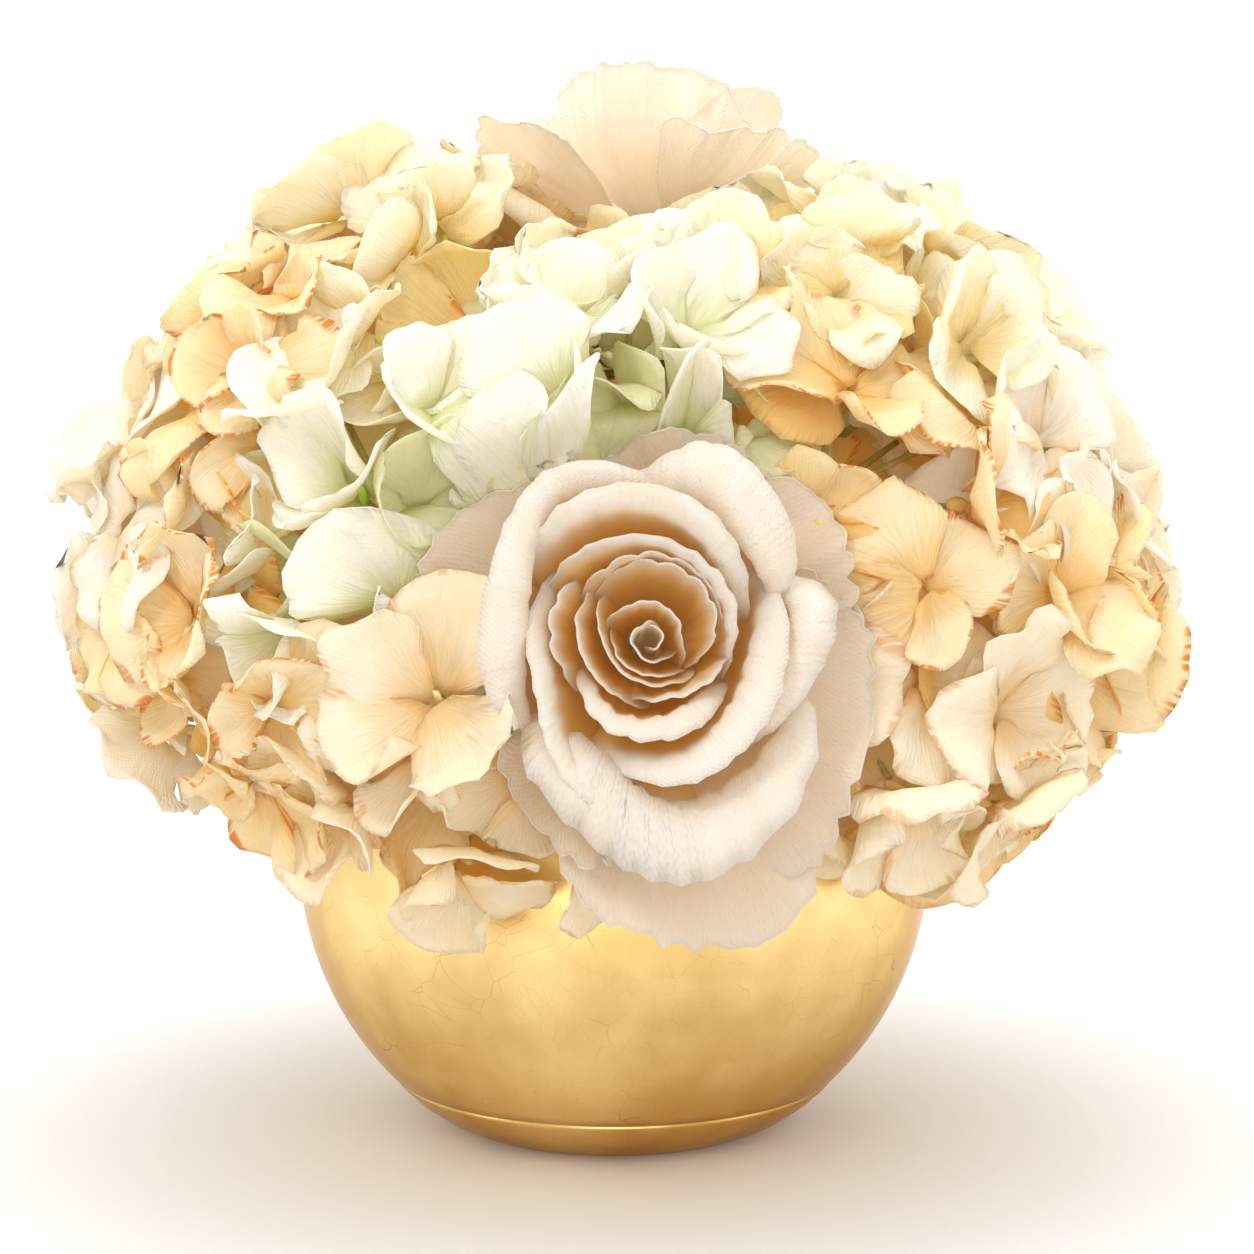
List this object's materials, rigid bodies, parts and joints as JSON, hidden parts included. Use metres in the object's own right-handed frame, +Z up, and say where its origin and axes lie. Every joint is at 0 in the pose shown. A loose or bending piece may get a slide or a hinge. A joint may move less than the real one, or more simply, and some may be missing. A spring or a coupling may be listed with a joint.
{
  "type": "floral table centerpiece",
  "caption": "Artificial centerpiece of cream roses and a dome of antique hydrangea blooms in a round gilded bowl, standing on a flat base.",
  "frame": {"origin": "middle of the bowl's flat underside, on the table", "axes": "+Z up from the table; -Y is the front, where the front rose faces; +X is to the viewer's right"},
  "size_m": [0.2851, 0.2595, 0.2548],
  "materials": {
    "gold_leaf_glaze": "satin",
    "dry_foam": "matte",
    "green_stem": "matte",
    "petal_rose_cream": "matte",
    "petal_green": "matte",
    "petal_yellow": "matte",
    "petal_white": "matte",
    "petal_amber": "matte",
    "petal_cream": "matte"
  },
  "bodies": {
    "root": {"bowl": "gold_leaf_glaze", "floral_foam": "dry_foam", "hydrangea_amber_back_left": "petal_amber", "hydrangea_amber_back_right": "petal_amber", "hydrangea_amber_left": "petal_amber", "hydrangea_amber_lower_right": "petal_amber", "hydrangea_amber_right": "petal_amber", "hydrangea_amber_top_left": "petal_amber", "hydrangea_cream_back_left": "petal_cream", "hydrangea_cream_back_right": "petal_cream", "hydrangea_cream_front_left": "petal_cream", "hydrangea_cream_front_right": "petal_cream", "hydrangea_green_back_right": "petal_green", "hydrangea_green_centre": "petal_green", "hydrangea_green_left": "petal_green", "hydrangea_white_back": "petal_white", "hydrangea_white_left": "petal_white", "hydrangea_white_right": "petal_white", "hydrangea_yellow_back": "petal_yellow", "hydrangea_yellow_left": "petal_yellow", "hydrangea_yellow_right": "petal_yellow", "rose_front": "petal_rose_cream", "rose_front_stem": "green_stem", "rose_top": "petal_rose_cream", "rose_top_stem": "green_stem", "stem_amber_back_left": "green_stem", "stem_amber_back_right": "green_stem", "stem_amber_left": "green_stem", "stem_amber_lower_right": "green_stem", "stem_amber_right": "green_stem", "stem_amber_top_left": "green_stem", "stem_cream_back_left": "green_stem", "stem_cream_back_right": "green_stem", "stem_cream_front_left": "green_stem", "stem_cream_front_right": "green_stem", "stem_green_back_right": "green_stem", "stem_green_centre": "green_stem", "stem_green_left": "green_stem", "stem_white_back": "green_stem", "stem_white_left": "green_stem", "stem_white_right": "green_stem", "stem_yellow_back": "green_stem", "stem_yellow_left": "green_stem", "stem_yellow_right": "green_stem"}
  },
  "joints": []
}
